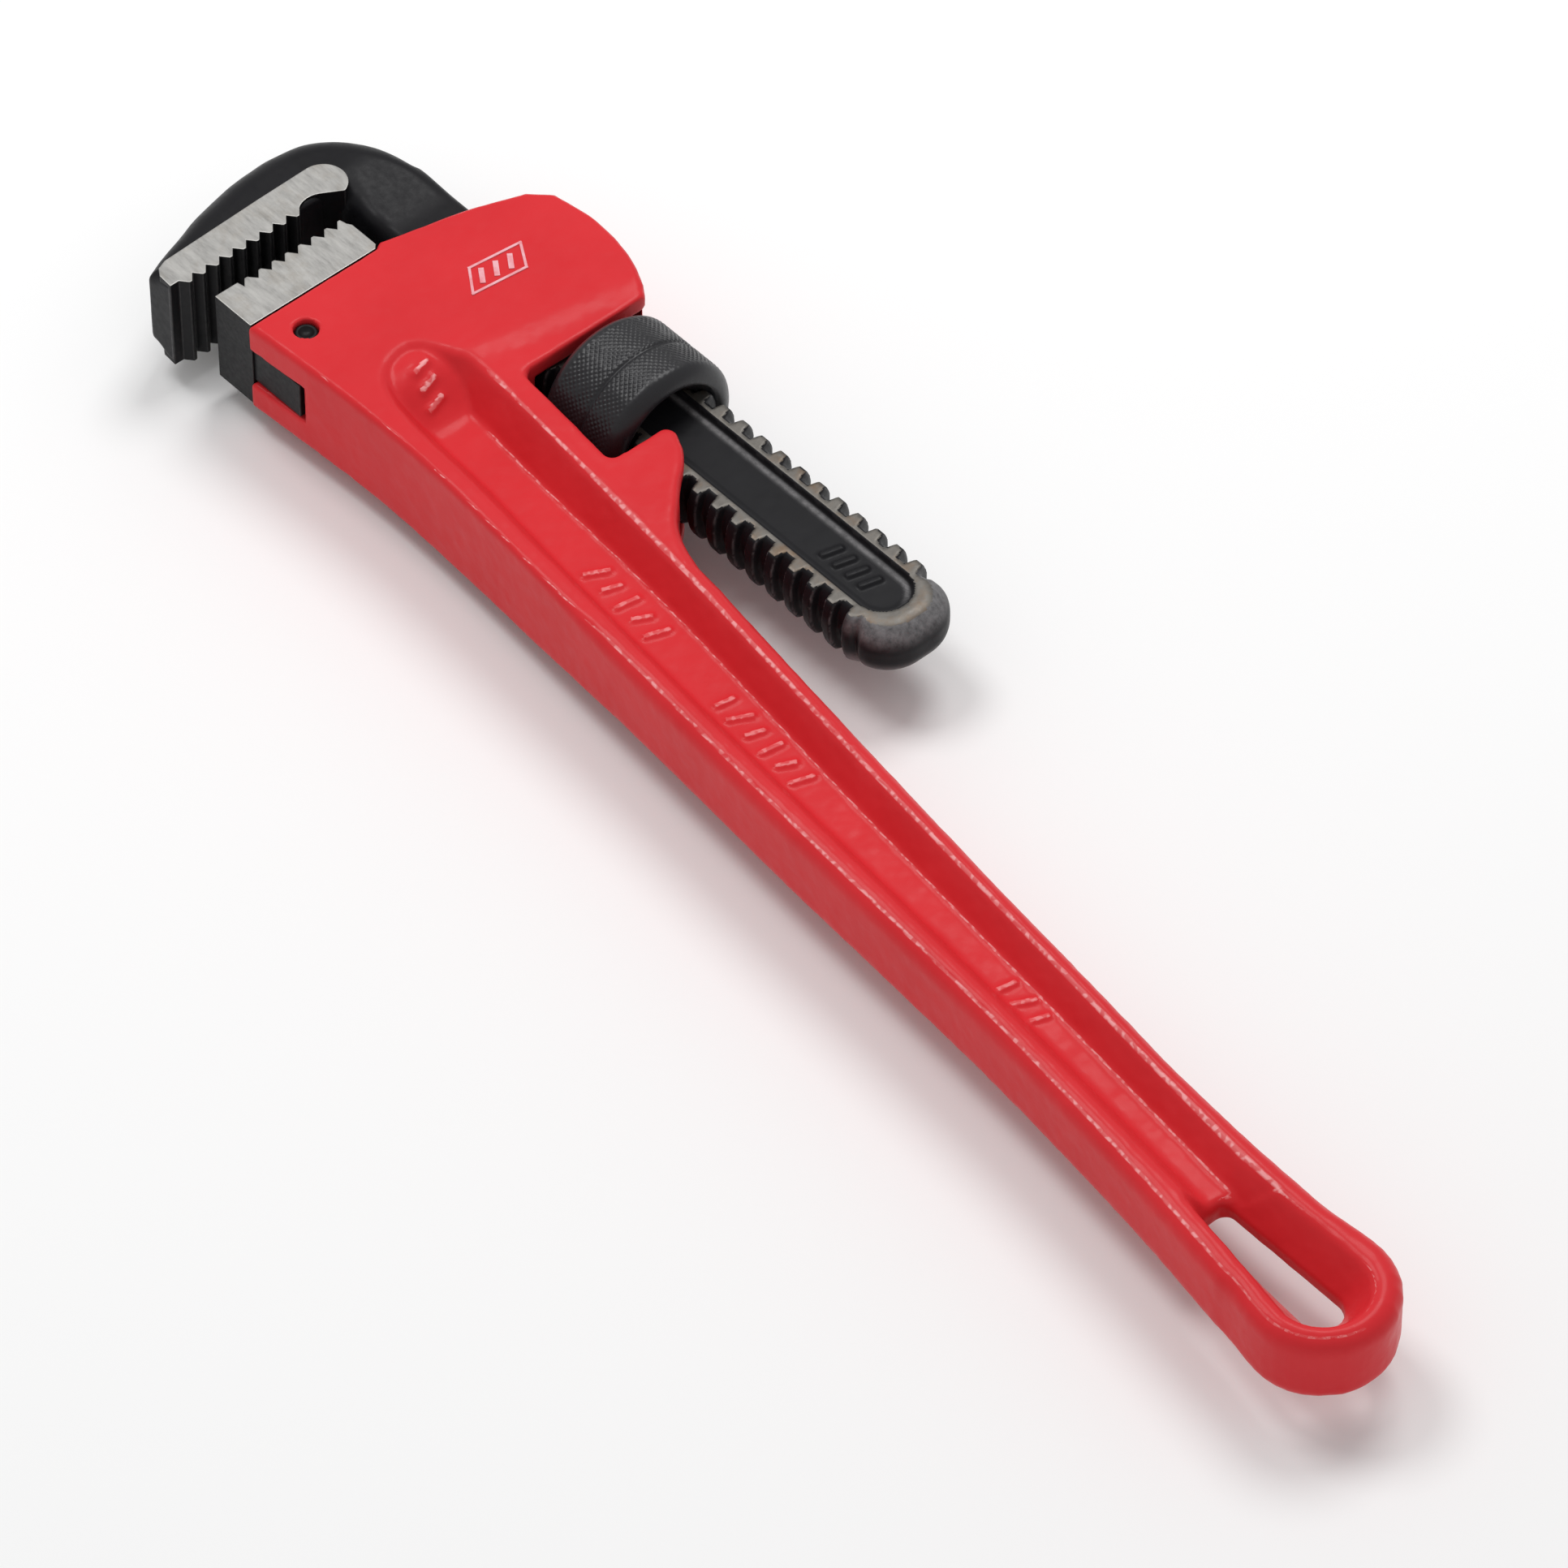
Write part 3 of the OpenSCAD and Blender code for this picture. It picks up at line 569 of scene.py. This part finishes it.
# The jaws' teeth: pitch and height, the x of the hook's tooth tips, and half the width of both jaws.
TOOTH_PITCH, TOOTH_H = 2.8, 1.4
TIP_X = -5.1
JAW_HALF = 9
# The bevel on their edges. Faces with less than BEVEL_AREA, in square metres, are part of a bevel.
BEVEL, BEVEL_AREA = 0.16, 4e-6


def stadium(x, y, x0, x1, r):
    """Signed distance to a long shape with round ends about x0 and x1."""
    return np.hypot(x - np.clip(x, x0, x1), y) - r


def thread_rise(x, y, z):
    """Height of the screw thread over its root at a point on the shank."""
    turns = (x - PHASE) / PITCH - np.arctan2(z, y) / (2 * np.pi)
    off = np.abs(turns - np.round(turns)) * PITCH
    return (CREST_R - ROOT_R) * np.clip((1.42 - off) / 0.6, 0, 1)


def hook_field(x, y, z):
    """Hook, neck and threaded shank in one."""
    # the head gets thinner towards the neck, but not along the strip
    across = mix(ease((y + 16) / 13), 1, ease((x - 0.5) / 5))
    slope = 2.6 * ease((x + 10) / 14) * across + 0.9 * ease((x - 0.5) / 6) + 0.5 * ease((x - 7) / 12)
    # and its edges are roundest on the back
    inner = ease((x + 12) / 5) * ease((-8 - y) / 5)
    soft = mix(0.5, 1, ease((y + 42) / 20)) * mix(1, 0.2, inner)
    roundness = 5.6 * soft * mix(1, 0.5, ease((x + 10) / 10))
    head = extruded(outline_distance(x, y, HEAD), z, 8.6 - slope, roundness)
    # a round bar with the thread, cut to two flats and a round end
    fade = ease((x - 39.5) / 2.5) * ease((120 - x) / 3)
    core = mix(mix(7.6, ROOT_R, ease((x - 20) / 15)), 8.9, ease((x - 118) / 2.5))
    screw = (np.hypot(y, z) - core - thread_rise(x, y, z) * fade) * mix(1, 0.7, fade)
    plan = np.where(x > 118.6, np.hypot(np.maximum(np.abs(y) - 1.4, 0), x - 118.6) - 7.8, np.abs(y) - 9.6)
    plan = np.maximum(plan, -3 - x)
    flats = extruded(plan, z, SHANK_HALF, mix(0.45, 4.3, ease((x - 114) / 6)))
    out = smooth_min(head, smooth_max(screw, flats, 0.5), 2.2)
    # the panel, with a bead along its wall and raised bars in the place of its number
    rim = stadium(x, y, *PANEL)
    marks = np.minimum.reduce([bar(x, y, mark, 0, 75, 4.2, 1.2) for mark in PANEL_MARKS])
    bead = 0.22 * np.exp(-((rim + 1.0) / 0.32) ** 2)
    floor = PANEL_FLOOR + 0.45 * ease(0.5 - marks / 0.4) + bead
    panel = smooth_max(rim + 0.3 * (SHANK_HALF - np.abs(z)), floor - np.abs(z), 0.4)
    out = smooth_max(out, -panel, 0.4)
    return out + 0.02 + 0.015 * lumps(x, y, z, 1.7)


def hook_slots(centre, normal):
    """Bare metal on the flats of the shank round the panel, black elsewhere."""
    flat = (np.abs(normal[:, 2]) > 0.93) & (np.abs(centre[:, 2]) > 4.6) & (np.abs(centre[:, 2]) < 5.5)
    return (flat & (centre[:, 0] > 42)).astype(int)


def hook_wear_and_highlights(verts):
    """Real wear on sharp edges, and painted highlights along the far side of the panel's bead and round the
    end of the shank.
    """
    x, y, z = verts.T
    rim = stadium(x, y, *PANEL)
    # painted highlight: a pale line along the far side of the panel's bead
    bead = np.exp(-((rim + 1) / 0.4) ** 2) * ease(y / 3) * (np.abs(z) < 4.4)
    # painted highlight: a mottled grey sheen round the end of the shank
    end = 0.9 * ease((x - 115.5) / 2.5) * ease((np.abs(z) - 1) / 2.8) * ease((rim - 0.5) / 1.5)
    edges = ease((edge_wear(verts, hook_field, 0.8) - 0.3) / 0.55)
    return np.maximum.reduce([edges, bead, end])


def build_hook():
    verts, faces = net(hook_field, (-24, -45, -10), (128, 11, 10), HOOK_CELL)
    forging = smooth_piece("hook_forging", verts, faces, "hook", [FORGED, RIM],
                           ["hook_jaw"], pick=hook_slots)
    set_edges(forging, hook_wear_and_highlights(verts))


build_hook()


def teeth(x, first, count, pitch, height):
    """Tooth corners up a straight edge at x, the last tooth in the middle of its pitch at first."""
    return [(x + u, first - k * pitch + v) for k in range(count - 1, -1, -1)
            for u, v in ((0, -0.5 * pitch), (height, -0.1 * pitch), (height, 0.1 * pitch))]


def add_prism(bm, outline, low, high, bevel=0):
    """Adds an outline extruded from z = low to high, its edges broken by a small bevel."""
    bottom, top = [[bm.verts.new(((x + SHIFT[0]) * MM, (y + SHIFT[1]) * MM, (z + SHIFT[2]) * MM))
                    for x, y in outline] for z in (low, high)]
    sides = zip(bottom, bottom[1:] + bottom[:1], top[1:] + top[:1], top)
    faces = [bm.faces.new(corners) for corners in (bottom[::-1], top, *sides)]
    bmesh.ops.recalc_face_normals(bm, faces=faces)
    if bevel:
        edges = [e for e in bm.edges if e.link_faces[0] in faces and abs(e.calc_face_angle()) > 0.3]
        bmesh.ops.bevel(bm, geom=edges, offset=bevel * MM, segments=2, profile=0.6, affect="EDGES",
                        clamp_overlap=True)


def flat_piece(name, bm, body, materials, replaces=(), pick=None):
    """A flatly shaded piece from a bmesh, rubbed on its bevels."""
    mesh = bpy.data.meshes.new(name)
    bm.to_mesh(mesh)
    bm.free()
    rub = [0.6 if f.area < BEVEL_AREA else 0.0 for f in mesh.polygons for _ in f.vertices]
    mesh.attributes.new("edge", "FLOAT", "CORNER").data.foreach_set("value", rub)
    return add_piece(name, mesh, body, materials, replaces, pick)


def ground_sides(centre, normal):
    """Bare metal on both side faces at the jaw's full width, black elsewhere."""
    return ((np.abs(normal[:, 2]) > 0.9) & (np.abs(centre[:, 2]) > 8)).astype(int)


def build_hook_teeth():
    root = TIP_X - TOOTH_H
    strip = (teeth(root, -17.6, 9, TOOTH_PITCH, TOOTH_H) + [(root, -16.2)]
             + arc(-3.2, -13.8, 4.1, 208, 150, 6) + arc(-8.5, -9.6, 4.15, 20, 180, 24)
             + [(-12.4, -20), (-11.6, -40.2), (-10.9, -42), (-9.4, -43), (root, -43.2)])
    bm = bmesh.new()
    add_prism(bm, strip, -JAW_HALF, JAW_HALF, BEVEL)
    flat_piece("hook_teeth", bm, "hook", [TOOTH_BLACK_AND_SHADE, STRIP], pick=ground_sides)


build_hook_teeth()


# ---------------------------------------------------------------- heel jaw and pin

def build_heel_jaw():
    """The toothed block, drawn in mirror image, and the tongue that sits in the housing."""
    mirrored = ([(-8.9, -39.3), (0, -39.3), (0, -34.6)] + teeth(-TOOTH_H, -32.9, 1, TOOTH_PITCH, TOOTH_H)
                + teeth(-TOOTH_H, -13.5, 7, 2.75, TOOTH_H)
                + [(-TOOTH_H, -12.9), (-2.2, -12.4), (-8.1, -12.4), (-8.9, -13.2)])
    bm = bmesh.new()
    add_prism(bm, [(-x, y) for x, y in mirrored][::-1], -JAW_HALF, JAW_HALF, BEVEL)
    add_prism(bm, [(8.2, -38.9), (20.2, -38.9), (20.2, -26.5), (8.2, -26.5)], -3.55, 3.55, 0.25)
    flat_piece("heel_jaw_block", bm, "frame", [TOOTH_BLACK_AND_SHADE, STRIP], ["heel_jaw"],
               pick=ground_sides)


build_heel_jaw()


def lathe(name, profile, steps, place, body, material, replaces, rise=None, closed=True):
    """A surface turned about its own X axis and put in its place. rise moves points outwards."""
    p = np.array(profile, float)
    x, r = np.repeat(p[:, 0], steps), np.repeat(p[:, 1], steps)
    a = np.tile(np.arange(steps) * 2 * np.pi / steps, len(p))
    if rise is not None:
        r = r + rise(x, r, a)
    points = place(np.stack([x, r * np.cos(a), r * np.sin(a)], axis=1))
    k = np.arange(len(p) if closed else len(p) - 1)[:, None]
    j = np.arange(steps)[None, :]
    k1, j1 = (k + 1) % len(p), (j + 1) % steps
    quads = np.stack([np.broadcast_to(v, (len(k), steps)).ravel() for v in
                      (k * steps + j, k * steps + j1, k1 * steps + j1, k1 * steps + j)], axis=1)
    faces = quads.tolist()
    if not closed:
        faces += [list(range(steps))[::-1], [(len(p) - 1) * steps + i for i in range(steps)]]
    obj = smooth_piece(name, points, faces, body, [material], replaces)
    face_outwards(obj)
    set_edges(obj, np.zeros(len(p) * steps))


def build_pin():
    """The cross pin, standing upright, with a hollow in both ends."""
    end = [(7.9, 0.02), (8.0, 0.8), (8.5, 1.2), (8.65, 1.4), (8.65, 1.6), (8.5, 1.85), (8.1, 2.0)]
    # its very dark material partly paints the shade down in the pin's bore
    lathe("heel_jaw_cross_pin", [(-x, r) for x, r in end] + end[::-1], 40,
          lambda q: np.stack([q[:, 1] + PIN_X, q[:, 2] + PIN_Y, q[:, 0]], axis=1),
          "frame", TOOTH_BLACK_AND_SHADE, ["heel_jaw_pin"], closed=False)


build_pin()


# ---------------------------------------------------------------- adjusting nut

NUT_R = 13.5
# The knurl: its count round the nut, its pitch along it, its depth, and mesh steps for each.
KNURLS, KNURL_PITCH, KNURL_DEPTH, KNURL_STEPS = 78, 1.03, 0.19, 6


def nut_profile():
    """The nut's section: left to right over the outside, round the rim, and back through the bore."""
    xs = np.arange(-6.3, 6.31, 0.168)
    outer = [(x, -0.38 * math.exp(-((x - 0.8) / 0.33) ** 2)) for x in xs]
    rim = [(6.6, -0.03), (7.0, -0.14), (7.4, -0.34), (7.8, -0.64), (8.15, -1.0), (8.45, -1.4),
           (8.72, -1.85), (8.9, -2.3), (8.98, -2.7), (8.93, -3.0), (8.7, -3.3), (8.2, -3.75),
           (7.6, -4.3), (6.9, -5.0)]
    bore = [(x, -5.3) for x in np.arange(6.6, -6.7, -0.3)]
    return [(NUT_X + x, NUT_R + r) for x, r in outer + rim + bore + [(-x, r) for x, r in rim[::-1]]]


def nut_rise(x, r, a):
    """Fine crossed knurl outside, the thread inside."""
    u, v = a * KNURLS / (2 * np.pi), (x - NUT_X) / KNURL_PITCH
    ridge = np.minimum(np.abs(((u + v) % 1) - 0.5), np.abs(((u - v) % 1) - 0.5)) * 2
    band = ease((r - 13.2) / 0.2) * ease((6.9 - np.abs(x - NUT_X)) / 0.5)
    band = band * (0.8 + 0.5 * lumps(x, r * np.cos(a), r * np.sin(a), 1.4))
    knurl = -KNURL_DEPTH * (1 - ease(ridge * 1.6)) * band
    return np.where(r < 8.6, thread_rise(x, r * np.cos(a), r * np.sin(a)), knurl)


def build_nut():
    lathe("knurled_nut", nut_profile(), KNURLS * KNURL_STEPS, lambda q: q, "nut", CAST_BLACK,
          ["adjusting_nut"], rise=nut_rise)


build_nut()


# ---------------------------------------------------------------- springs and rivet

def tube(name, path, radius, body, material, replaces, sides=12):
    """A round wire along a path, its ends closed."""
    p = np.array(path, float)
    tangent = np.gradient(p, axis=0)
    tangent /= np.linalg.norm(tangent, axis=1, keepdims=True)
    across = np.cross(tangent, (0, 1, 0))
    across /= np.linalg.norm(across, axis=1, keepdims=True)
    up = np.cross(across, tangent)
    points = np.concatenate([p + radius * (math.cos(a) * across + math.sin(a) * up)
                             for a in np.arange(sides) * 2 * math.pi / sides])
    n = len(p)
    faces = [[s * n + k, s * n + k + 1, ((s + 1) % sides) * n + k + 1, ((s + 1) % sides) * n + k]
             for s in range(sides) for k in range(n - 1)]
    faces += [[s * n for s in range(sides)], [s * n + n - 1 for s in range(sides)][::-1]]
    face_outwards(smooth_piece(name, points, faces, body, [material], replaces))


def build_coil_spring():
    turns, radius, bottom, top = 6.5, 2.5, -19.15, -10.2
    t = np.linspace(0, 1, 261)
    angle = t * (2 * turns) * np.pi
    helix = np.stack([COIL_X + radius * np.cos(angle), mix(bottom, top, t), radius * np.sin(angle)], axis=1)
    tube("coil_spring_wire", helix, 0.45, "rocker", SPRING, ["coil_spring"])


def build_flat_spring():
    """A leaf bent to follow the shank under the tunnel's roof."""
    half = 0.4
    leaf = curve([(42, 12.15), (36, 12.12), (27, 11.2), (18, 10.35), (14.5, 10.25), (11.5, 10.8)], 8)
    bm = bmesh.new()
    add_prism(bm, [(x, y + half) for x, y in leaf] + [(x, y - half) for x, y in leaf[::-1]], -4, 4, 0.12)
    flat_piece("flat_spring_leaf", bm, "rocker", [SPRING], ["flat_spring"])


def build_rivet():
    """A head under the leaf and a stem up into the roof."""
    profile = [(11.1, 0.02), (11.1, 1.6), (11.2, 2.2), (11.4, 2.5), (11.7, 2.5), (11.7, 1.5), (14.9, 1.5),
               (15.1, 1.3), (15.1, 0.02)]
    lathe("flat_spring_rivet", profile, 40, lambda q: np.stack([38 + q[:, 1], q[:, 0], q[:, 2]], axis=1),
          "frame", SPRING, ["spring_rivet"], closed=False)


build_coil_spring()
build_flat_spring()
build_rivet()


# ---------------------------------------------------------------- printed badge

def build_badge():
    """A plain printed badge on the housing: a slanted outline with three bars in it."""
    mat, tree, bsdf, add = shader("pale_print")
    wear = ramp(add, noise(add, 3.0, 3.0, 0.6), [(0.35, (0.72, 0.22, 0.25)), (0.6, (0.78, 0.40, 0.44))])
    tree.links.new(wear, bsdf.inputs["Base Color"])
    bsdf.inputs["Roughness"].default_value = 0.4
    bm = bmesh.new()
    place = Matrix.Translation((25.6, -2.0, 0)) @ Matrix.Rotation(math.radians(84), 4, "Z")

    def stroke(points, wide):
        for k, ((ax, ay), (bx, by)) in enumerate(zip(points, points[1:])):
            a, b = place @ Vector((ax, ay, 0)), place @ Vector((bx, by, 0))
            along = (b - a).normalized() * wide / 2
            side = Vector((-along.y, along.x, 0))
            ring = [a - along - side, b + along - side, b + along + side, a - along + side]
            # each side a little higher than the last, so that tops that meet don't lie in one plane
            add_prism(bm, [(q.x, q.y) for q in ring], 9.2, 9.56 + 0.01 * k)

    stroke([(-6.2, -2.6), (-3.4, 2.6), (6.6, 2.6), (4.2, -2.6), (-6.2, -2.6)], 0.45)
    for x in (-2.6, 0.2, 3.0):
        stroke([(x - 0.7, -1.1), (x + 0.5, 1.1)], 0.9)
    flat_piece("printed_badge", bm, "frame", [mat])


build_badge()


# ---------------------------------------------------------------- stage, light and camera

def stage_floor():
    mesh = bpy.data.meshes.new("floor")
    mesh.from_pydata([(-6, -6, 0), (6, -6, 0), (6, 6, 0), (-6, 6, 0)], [], [(0, 1, 2, 3)])
    mat, tree, bsdf, add = shader("floor")
    bsdf.inputs["Base Color"].default_value = (0.9, 0.9, 0.9, 1)
    bsdf.inputs["Roughness"].default_value = 0.9
    bsdf.inputs["Specular IOR Level"].default_value = 0.1
    mesh.materials.append(mat)
    floor = bpy.data.objects.new("floor", mesh)
    scene.collection.objects.link(floor)


def area_light(name, place, target, size, power):
    data = bpy.data.lights.new(name, "AREA")
    data.shape, data.size, data.energy = "DISK", size, power
    obj = bpy.data.objects.new(name, data)
    obj.location = place
    obj.rotation_euler = (Vector(target) - Vector(place)).to_track_quat("-Z", "Y").to_euler()
    scene.collection.objects.link(obj)


def studio_camera(place, back, lens):
    """A camera at that place, looking against the direction back."""
    data = bpy.data.cameras.new("camera")
    data.sensor_width = 36
    data.lens = lens
    camera = bpy.data.objects.new("camera", data)
    camera.location = place
    camera.rotation_euler = (-Vector(back)).to_track_quat("-Z", "Y").to_euler()
    scene.collection.objects.link(camera)
    scene.camera = camera


stage_floor()
world = bpy.data.worlds.new("studio")
world.use_nodes = True
world.node_tree.nodes["Background"].inputs["Color"].default_value = (1, 1, 1, 1)
world.node_tree.nodes["Background"].inputs["Strength"].default_value = 0.55
scene.world = world
scene.view_settings.view_transform = "Standard"
area_light("key", (-0.6, -0.1, 1.15), (0, 0, 0.01), 0.5, 5)
area_light("window", (-0.29, 0.6, 1.15), (0, 0, 0.01), 0.6, 6)
studio_camera((0.77902, -0.70591, 1.16112), (0.49992, -0.44651, 0.74209), 230.2)
